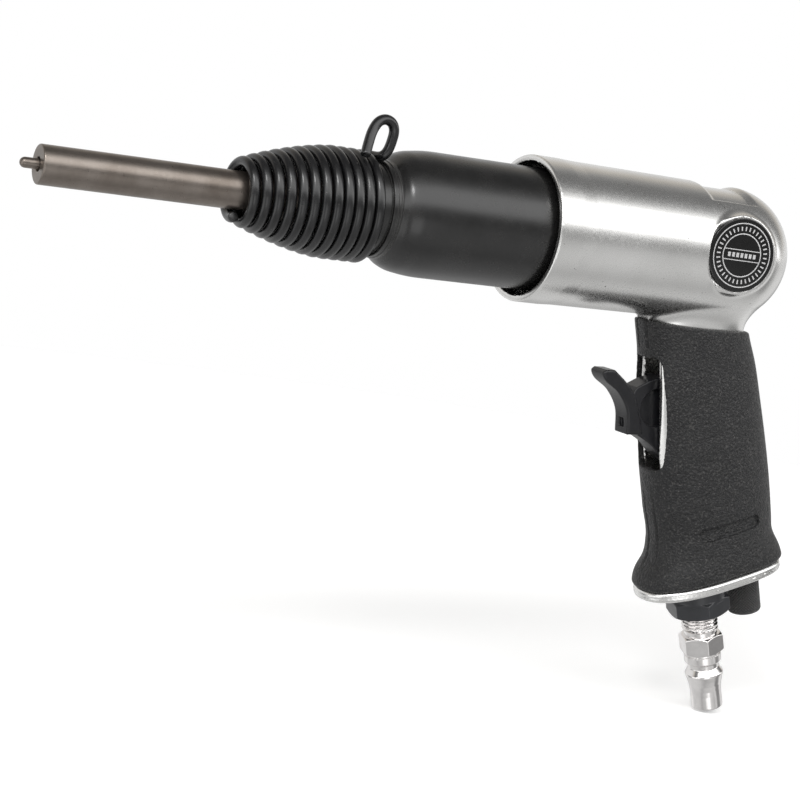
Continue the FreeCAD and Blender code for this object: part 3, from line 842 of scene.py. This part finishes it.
def pebbled_rubber(name="pebbled_rubber"):
    """Charcoal rubber with a fine leather-like grain; lighter specks scattered through its colour are
    painted glints.
    """
    m = Nodes(bpy.data.materials.new(name))
    warp = m.noise(700, 2, 0.5)
    shifted = m.add("ShaderNodeVectorMath", operation="MULTIPLY_ADD")
    m.join(warp, shifted.inputs[0])
    shifted.inputs[1].default_value = (0.0008, 0.0008, 0.0008)
    m.join(m.place, shifted.inputs[2])
    cells = m.pebbles(1500, shifted.outputs[0])
    lumps = m.noise(800, 4, 0.65)
    waves = m.noise(110, 2, 0.5)
    cloud = m.noise(70, 4, 0.6)
    tone = m.ramp(cloud, (0.3, (0.006, 0.006, 0.0065)), (0.7, (0.012, 0.012, 0.0125)))
    # painted highlight: random lighter specks in the base colour stand in for glints on the grain
    painted_glints = m.ramp(m.noise(1300, 3, 0.6), (0.54, 0.0), (0.66, 1.0))
    tone = m.mix(m.math("MULTIPLY", painted_glints, 0.6), tone, (0.070, 0.067, 0.064))
    m.set(Base_Color=tone, Roughness=m.ramp(lumps, (0.3, 0.34), (0.65, 0.52)))
    m.set(Specular_IOR_Level=0.42)
    m.bump((waves, 0.0005), (cells, -0.0004), (lumps, 0.0005))
    return m.material


def satin_plastic(name="satin_plastic"):
    """Black moulded plastic with a faint skin and worn edges."""
    m = Nodes(bpy.data.materials.new(name))
    grain = m.noise(1600, 3, 0.6)
    cloud = m.noise(120, 4, 0.6)
    tone = m.ramp(cloud, (0.3, (0.005, 0.005, 0.0062)), (0.7, (0.010, 0.010, 0.0118)))
    tone = m.mix(m.math("MULTIPLY", m.edge_wear(0.0005), 0.25), tone, (0.08, 0.08, 0.082))
    m.set(Base_Color=tone, Roughness=m.ramp(grain, (0.3, 0.28), (0.7, 0.38)))
    m.set(Specular_IOR_Level=0.4)
    m.bump((grain, 0.00002))
    return m.material


def plated(name="plated"):
    """Bright nickel plate with faint turning marks and a warm cast."""
    m = Nodes(bpy.data.materials.new(name))
    marks = m.noise(1500, 3, 0.6, m.scaled(0.3, 1, 1))
    tone = m.ramp(m.noise(160, 4, 0.6), (0.3, (0.76, 0.74, 0.73)), (0.7, (0.88, 0.86, 0.85)))
    m.set(Base_Color=tone, Metallic=1.0, Roughness=m.ramp(marks, (0.3, 0.10), (0.7, 0.17)))
    m.bump((marks, 0.000005))
    return m.material


def smooth_rubber(name="smooth_rubber"):
    m = Nodes(bpy.data.materials.new(name))
    grain = m.noise(900, 3, 0.6)
    m.set(Base_Color=m.ramp(grain, (0.3, 0.012), (0.7, 0.018)), Roughness=0.5)
    m.bump((grain, 0.00002))
    return m.material


def turned_brass(name="turned_brass"):
    m = Nodes(bpy.data.materials.new(name))
    rings = m.noise(1600, 3, 0.6)
    m.set(Base_Color=m.ramp(rings, (0.3, (0.62, 0.42, 0.16)), (0.7, (0.74, 0.52, 0.22))))
    m.set(Metallic=1.0, Roughness=0.3)
    m.bump((rings, 0.00001))
    return m.material


def badge_black(name="badge_black"):
    m = Nodes(bpy.data.materials.new(name))
    grain = m.noise(1200, 3, 0.6)
    m.set(Base_Color=m.ramp(grain, (0.3, 0.004), (0.7, 0.007)), Roughness=0.10)
    m.bump((grain, 0.000003))
    return m.material


def badge_silver(name="badge_silver"):
    m = Nodes(bpy.data.materials.new(name))
    grain = m.noise(2400, 3, 0.6)
    m.set(Base_Color=m.ramp(grain, (0.3, 0.62), (0.7, 0.78)), Metallic=0.6, Roughness=0.35)
    m.bump((grain, 0.000004))
    return m.material


ALUMINIUM = cast_aluminium()
BARREL_BLACK = black_oxide("barrel_black", (0.008, 0.0078, 0.0076), 0.25, 0.72)
SPRING_BLACK = black_oxide("spring_black", (0.006, 0.006, 0.0065), 0.24, 0.68)
BUSHING_BLACK = black_oxide("bushing_black", (0.014, 0.015, 0.018), 0.32, 0.70)
KNOB_BLACK = black_oxide("knob_black", (0.010, 0.010, 0.011), 0.24, 0.64)
TOOL_STEEL = tool_steel()
GROUND_STEEL = ground_steel()
RUBBER = pebbled_rubber()
PLASTIC = satin_plastic()
NICKEL = plated()
SEAL = smooth_rubber()
BRASS = turned_brass()
BADGE_BLACK = badge_black()
BADGE_SILVER = badge_silver()


# ---- turned pieces ----
def build_rivet_set():
    """Round bar with a dimple round the pilot pin, a coned collar and a shank."""
    face, back = SET_LOW.x, SET_HIGH.x
    bar_r, collar_r, shank_r = 5.9, 9.5, 5.09
    collar_front, collar_back = 80.0, 91.6
    dimple_deep, dimple_r = 1.2, 2.2
    hole_deep, hole_r = 8.0, PILOT_R + 0.02
    outline = rounded([
        (dimple_deep, hole_r), (dimple_deep, dimple_r, 0.2), (face, dimple_r, 0.3),
        (face, bar_r, 0.6), (collar_front - 3, bar_r, 1.5), (collar_front - 1.4, 7.2, 0.8),
        (collar_front, collar_r, 0.7), (collar_back, collar_r, 0.7), (collar_back, shank_r, 0.2),
        (back, shank_r, 1.0), (back, 0),
    ])
    points, faces = lathe([(hole_deep, 0), (hole_deep, hole_r)] + outline, 96)
    piece("rivet_set", points, faces, TOOL_STEEL, "set", "rivet_set")


def build_pilot_pin():
    tip, root = PILOT_LOW.x, PILOT_HIGH.x
    quarter = np.linspace(0, math.pi / 2, 9)
    nose = [(tip + PILOT_R * (1 - math.cos(a)), PILOT_R * math.sin(a)) for a in quarter]
    points, faces = lathe(nose + [(root - 0.05, PILOT_R), (root - 0.05, 0)], 40)
    piece("pilot_pin", points, faces, TOOL_STEEL, "set", "pilot_pin")


def build_barrel():
    """Tube with a stepped nose, a few fine turned lines and a long rounded shoulder."""
    front, back = BARREL_LOW.x, BARREL_HIGH.x
    neck_r, step_r, thread_r = 14.2, 15.6, 19.0
    step_x, bore_front = 108.0, 125.0
    bore_r, shank_bore_r = 9.5, 5.2
    nose = [
        (step_x, neck_r), (step_x, step_r - 0.3, 0.3), (step_x + 1.3, step_r - 0.3, 0.1),
        (step_x + 1.4, step_r, 0.15),
    ]
    for x in (110.3, 110.9):
        nose += [(x - 0.14, step_r, 0.03), (x, step_r - 0.2), (x + 0.14, step_r, 0.03)]
    shoulder = [(111.3, 15.9, 0.3), (112.9, 17.5, 1.2), (116.0, 18.9, 2.2), (123.5, BARREL_R, 5.0)]
    outline = rounded([
        (front, shank_bore_r), (front, neck_r, 0.8), *nose, *shoulder, (SKIRT_END, BARREL_R, 0.3),
        (SKIRT_END, thread_r, 0.1), (back, thread_r, 0.8), (back, bore_r, 0.3),
        (bore_front, bore_r), (bore_front, shank_bore_r),
    ], steps=8)
    points, faces = lathe(outline, 224, closed=True)
    piece("barrel", points, faces, BARREL_BLACK, "gun_body", "barrel")


def build_badge():
    """Black disc with two raised silver rings, a ring of bars and a band of plain blocks."""
    turn = Matrix.Rotation(math.atan2(BADGE_AXIS.y, BADGE_AXIS.x), 3, "Z")
    top = BADGE_FACE_OUT + 0.06
    foot = top - 0.2

    def placed(points):
        return [turn @ Vector(p) + BADGE_MID for p in points]

    face_edge = (BADGE_FACE_OUT, BADGE_R, 0.35)
    disc = rounded([(-0.5, 0), (-0.5, BADGE_R), face_edge, (BADGE_FACE_OUT, 0)])
    points, faces = lathe(disc, 128)
    piece("badge", placed(points), faces, BADGE_BLACK, "gun_body", "badge")
    for k, (inner, outer) in enumerate(((10.5, 10.85), (7.0, 7.35))):
        ring = rounded([(foot, inner), (top, inner, 0.05), (top, outer, 0.05), (foot, outer)], 2)
        points, faces = lathe(ring, 128, closed=True)
        piece(f"badge_ring_{k + 1}", placed(points), faces, BADGE_SILVER, "gun_body")
    points, faces = badge_bars(foot, top)
    piece("badge_bars", placed(points), faces, BADGE_SILVER, "gun_body")


def badge_bars(foot, top):
    """Points and faces of the ring of radial bars, the two lines and the blocks between them."""
    sides = ((3, 2, 1, 0), (4, 5, 6, 7), (0, 1, 5, 4), (1, 2, 6, 5), (2, 3, 7, 6), (3, 0, 4, 7))
    points, faces = [], []

    def bar(corners):
        start = len(points)
        for x in (foot, top):
            points.extend((x, y, z) for y, z in corners)
        faces.extend([start + i for i in loop] for loop in sides)

    def block(y, z, half_y, half_z):
        corners = ((-1, -1), (1, -1), (1, 1), (-1, 1))
        bar([(y + a * half_y, z + b * half_z) for a, b in corners])

    spoke = ((8.2, -0.2), (9.6, -0.26), (9.6, 0.26), (8.2, 0.2))
    spokes = 36
    for k in range(spokes):
        angle = 2 * math.pi * k / spokes
        c, s = math.cos(angle), math.sin(angle)
        bar([(-r * s + w * c, r * c + w * s) for r, w in spoke])
    for z in (-1.75, 1.75):
        block(0.0, z, 6.9, 0.14)
    for k in range(-3, 4):
        block(1.6 * k, 0.0, 0.5, 0.75)
    return points, faces


# ---- retainer spring ----
WIRE_R = 1.5
COIL_PITCH = 3.52
COIL_X = 61.2
COIL_START_DEG = -195.0
COIL_END_DEG = 360 * 12
COIL_BIG_R, COIL_SMALL_R = 17.45, 9.45       # outside radius of the rear and the first coil
TAPER_START_X, TAPER_END_X = 60.5, 92.0


def coil_point(turn_deg):
    """Centre of the wire; the coil widens to its full radius along a curve."""
    angle = math.radians(turn_deg)
    x = COIL_X + COIL_PITCH * (turn_deg - COIL_START_DEG) / 360
    along = min(max((x - TAPER_START_X) / (TAPER_END_X - TAPER_START_X), 0.0), 1.0)
    radius = COIL_BIG_R - (COIL_BIG_R - COIL_SMALL_R) * (1 - along) ** 1.5 - WIRE_R
    return np.array((x, -radius * math.sin(angle), radius * math.cos(angle)))


def build_spring():
    """Beehive coil that bends up into a finger loop; the loop's free leg comes down in front."""
    coil = [coil_point(a) for a in np.arange(COIL_START_DEG, COIL_END_DEG, 6.0)]
    end = coil_point(COIL_END_DEG)
    x = end[0]
    bend = [
        coil[-2], coil[-1], end, (x + 0.85, -2.6, 16.0), (x + 1.6, -4.3, 16.6), (x + 2.6, -5.0, 18.2),
        (x + 3.4, -5.2, 21.1), (x + 3.65, -5.4, 24.5), (x + 2.4, -5.7, 26.8), (x - 0.15, -6.1, 27.6),
        (x - 2.8, -6.7, 26.5), (x - 4.85, -7.6, 23.5), (x - 6.45, -9.2, 19.5), (x - 7.5, -10.6, 16.4),
    ]
    loop = through(bend, 10)
    path = coil[:-2] + loop[10:]
    points, faces = tube(path, WIRE_R + 0.12, 32)
    piece("retainer_spring", points, faces, SPRING_BLACK, "gun_body", "retainer_spring", sharp=60)


def build_throttle_spring():
    """Fine wire spring behind the throttle's valve head, on a mesh of its own."""
    turns, pitch, coil_r, wire_r, start_u = 3, 1.75, 3.4, 0.35, 16.95
    path = on_handle([
        (THROTTLE_S - coil_r * math.cos(a), coil_r * math.sin(a), start_u + pitch * a / (2 * math.pi))
        for a in np.arange(24 * turns + 1) * math.pi / 12
    ])
    points, faces = tube(path, wire_r, 12)
    spring = piece("throttle_spring", points, faces, GROUND_STEEL, "gun_body", "throttle_spring")
    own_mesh(spring)


# ---- regulator knob ----
def build_knob():
    """Finger knob whose side is cut by two crossing sets of fine spiral grooves."""
    top, end, r = 121.8, 138.8, 6.0
    spindle_top, spindle_r = 96.5, 4.0
    columns = 360
    starts, depth = 34, 0.5
    upper = (
        (spindle_top, 0.0), (spindle_top, spindle_r), (top, spindle_r), (top, r - 0.6),
        (top + 0.3, r - 0.25), (top + 0.7, r - 0.12),
    )
    lower = (
        (end - 0.75, r - 0.1), (end - 0.3, r - 0.35), (end, r - 0.9), (end, 3.0),
        (end - 0.25, 2.6), (end - 0.25, 0.0),
    )
    rings = [(s, [radius] * columns) for s, radius in upper]
    angles = np.arange(columns) * 2 * math.pi / columns
    for s in np.arange(top + 1.0, end - 0.9, 0.14):
        lead = (s - top) / r
        one = np.abs(((angles + lead) * starts / (2 * math.pi)) % 1 - 0.5) * 2
        two = np.abs(((angles - lead) * starts / (2 * math.pi)) % 1 - 0.5) * 2
        cut = np.clip(1.5 * np.minimum(one, two), 0, 1)
        rings.append((s, r - depth * (1 - cut)))
    rings += [(s, [radius] * columns) for s, radius in lower]
    points, loops = [], []
    for s, radii in rings:
        start = len(points)
        if max(radii) == 0.0:
            points.append((s, 0, REGULATOR_U))
            loops.append([start] * columns)
            continue
        for a, q in zip(angles, radii):
            points.append((s, q * math.sin(a), REGULATOR_U + q * math.cos(a)))
        loops.append(list(range(start, start + columns)))
    faces = []
    for near, far in zip(loops, loops[1:]):
        for k in range(columns):
            n = (k + 1) % columns
            faces.append(list(dict.fromkeys((near[n], near[k], far[k], far[n]))))
    points = on_handle(points)
    piece("regulator_knob", points, faces, KNOB_BLACK, "regulator", "regulator_knob", sharp=70)


# ---- pieces from fields ----
def build_from_field(name, field, cell, material, body, sharp=60):
    """Piece whose field is sampled a little way past the box of the CAD node it stands for."""
    low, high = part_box(name)
    room = Vector((1, 1, 1)) * 1.2
    points, faces = field_mesh(field, low / MM - room, high / MM + room, cell)
    return piece(name, points, faces, material, body, name, sharp=sharp)


build_from_field("housing", housing_field, 0.5, ALUMINIUM, "gun_body")
build_from_field("grip_sleeve", sleeve_field, 0.5, RUBBER, "gun_body")
build_from_field("trigger", trigger_field, 0.3, PLASTIC, "trigger")
build_from_field("inlet_bushing", bushing_field, 0.25, BUSHING_BLACK, "gun_body", sharp=40)
build_from_field("air_plug", plug_field, 0.2, NICKEL, "gun_body", sharp=40)
build_rivet_set()
build_pilot_pin()
build_barrel()
build_badge()
build_spring()
build_throttle_spring()
build_knob()

CAD_MATERIALS = {
    GROUND_STEEL: (
        "piston", "valve_case", "valve_cap", "valve_spool", "valve_dowels", "valve_washer",
        "trigger_pin", "throttle_stem", "regulator_pin",
    ),
    SEAL: ("barrel_oring", "throttle_seal", "regulator_oring", "inlet_oring"),
    BRASS: ("throttle_bush", "throttle_plug", "inlet_screen"),
}
for material, names in CAD_MATERIALS.items():
    for node_name in names:
        mesh = frame["nodes"][node_name].data
        mesh.materials.clear()
        mesh.materials.append(material)


# ---- floor, light and camera ----
def build_floor():
    """Pale round floor; mirror-like pieces see the studio through it."""
    radius, sides = 0.8, 96
    low = CAD_BOX[0].z - 0.0005
    angles = [2 * math.pi * k / sides for k in range(sides)]
    rim = [(radius * math.cos(a) + 0.15, radius * math.sin(a), low) for a in angles]
    mesh = bpy.data.meshes.new("floor")
    mesh.from_pydata(rim, [], [list(range(sides))])
    m = Nodes(bpy.data.materials.new("floor_paint"))
    rays = m.add("ShaderNodeLightPath").outputs
    m.set(Base_Color=(0.97, 0.97, 0.97, 1), Roughness=0.9, Specular_IOR_Level=0.0)
    lift = m.math("MULTIPLY", rays["Is Camera Ray"], 0.25)
    m.set(Emission_Color=(1, 1, 1, 1), Emission_Strength=lift)
    m.set(Alpha=m.math("SUBTRACT", 1.0, rays["Is Glossy Ray"]))
    mesh.materials.append(m.material)
    floor = bpy.data.objects.new("floor", mesh)
    bpy.context.scene.collection.objects.link(floor)


def build_world():
    """White to the camera; to the pieces, a studio.

    A wide softbox hangs high in front under a dark ceiling, and dark and light panels stand
    round the room, seen low down by the upright pieces.
    """
    strength = 2.4
    world = bpy.data.worlds.new("studio")
    bpy.context.scene.world = world
    w = Nodes(world, "Generated")
    split = w.add("ShaderNodeSeparateXYZ")
    w.join(w.place, split.inputs[0])
    front = w.math("MULTIPLY", split.outputs["Y"], -1.0)

    def glow(angle, lights):
        """Brightness round a full turn from (degrees, light) stops."""
        turn = w.math("ADD", w.math("MULTIPLY", angle, 0.5 / math.pi), 0.5)
        stops = []
        for degrees, light in lights:
            colour = light if isinstance(light, tuple) else (light,) * 3
            stops.append(((degrees + 180) / 360, tuple(c / strength for c in colour)))
        return w.ramp(turn, *stops)

    warm = (0.60, 0.56, 0.50)
    overhead = glow(w.math("ARCTAN2", split.outputs["Z"], front), (
        (-180, 0.7), (-120, 0.7), (-80, 0.62), (-62, 0.45), (-45, 0.62), (-25, 0.56), (-6, 0.33),
        (10, 0.33), (18, 1.0), (23, 2.4), (52, 2.4), (60, 1.1), (70, 0.40), (84, 0.17),
        (106, 0.17), (118, 0.30), (134, warm), (155, 0.8), (180, 0.9),
    ))
    panels = glow(w.math("ARCTAN2", split.outputs["X"], front), (
        (-180, 0.9), (-150, 0.9), (-140, 0.28), (-118, 0.28), (-108, 1.4), (-62, 1.4),
        (-55, 0.6), (-35, 0.6), (-26, 1.5), (-4, 1.5), (10, 0.7), (48, 0.7), (58, 0.26),
        (80, 0.26), (90, 0.8), (118, 0.8), (126, 0.25), (150, 0.25), (160, 0.7), (180, 0.9),
    ))
    height = w.math("ADD", split.outputs["Z"], 0.6)
    low_side = w.ramp(height, (0.0, 0.0), (0.10, 1.0), (0.45, 1.0), (0.58, 0.0))
    across = w.math("ADD", w.math("MULTIPLY", split.outputs["X"], 0.5), 0.5)
    beside = w.ramp(across, (0.66, 1.0), (0.71, 0.45), (0.78, 0.45), (0.83, 1.0))
    room = w.mix(w.math("MULTIPLY", low_side, beside), overhead, panels)
    camera_ray = w.add("ShaderNodeLightPath").outputs["Is Camera Ray"]
    w.set(Color=w.mix(camera_ray, room, (1 / strength,) * 3), Strength=strength)


def build_key_light():
    """Small soft light high in front, aimed at the middle of the gun."""
    target = (CAD_BOX[0] + CAD_BOX[1]) / 2
    place = target + Vector((-0.9, -0.9, 1.2))
    data = bpy.data.lights.new("key", "AREA")
    data.shape = "RECTANGLE"
    data.size, data.size_y = 0.35, 0.35
    data.energy = 6
    lamp = bpy.data.objects.new("key", data)
    lamp.location = place
    lamp.rotation_euler = (target - place).to_track_quat("-Z", "Y").to_euler()
    bpy.context.scene.collection.objects.link(lamp)


def build_camera():
    """Camera on the gun's left, ahead of the muzzle and slightly above it."""
    camera_data = bpy.data.cameras.new("camera")
    camera_data.sensor_width = 36.0
    camera_data.lens = 88.4
    camera = bpy.data.objects.new("camera", camera_data)
    place = Vector((-173.1, -546.9, 22.7)) * MM
    forward = Vector((0.4785, 0.8683, -0.1307)).normalized()
    up = Vector((-0.0698, 0.1860, 0.9801))
    right = forward.cross(up).normalized()
    up = right.cross(forward)
    turn = Matrix((right, up, -forward)).transposed().to_4x4()
    camera.matrix_world = Matrix.Translation(place) @ turn
    bpy.context.scene.collection.objects.link(camera)
    bpy.context.scene.camera = camera


bpy.context.scene.view_settings.view_transform = "Standard"
build_floor()
build_world()
build_key_light()
build_camera()
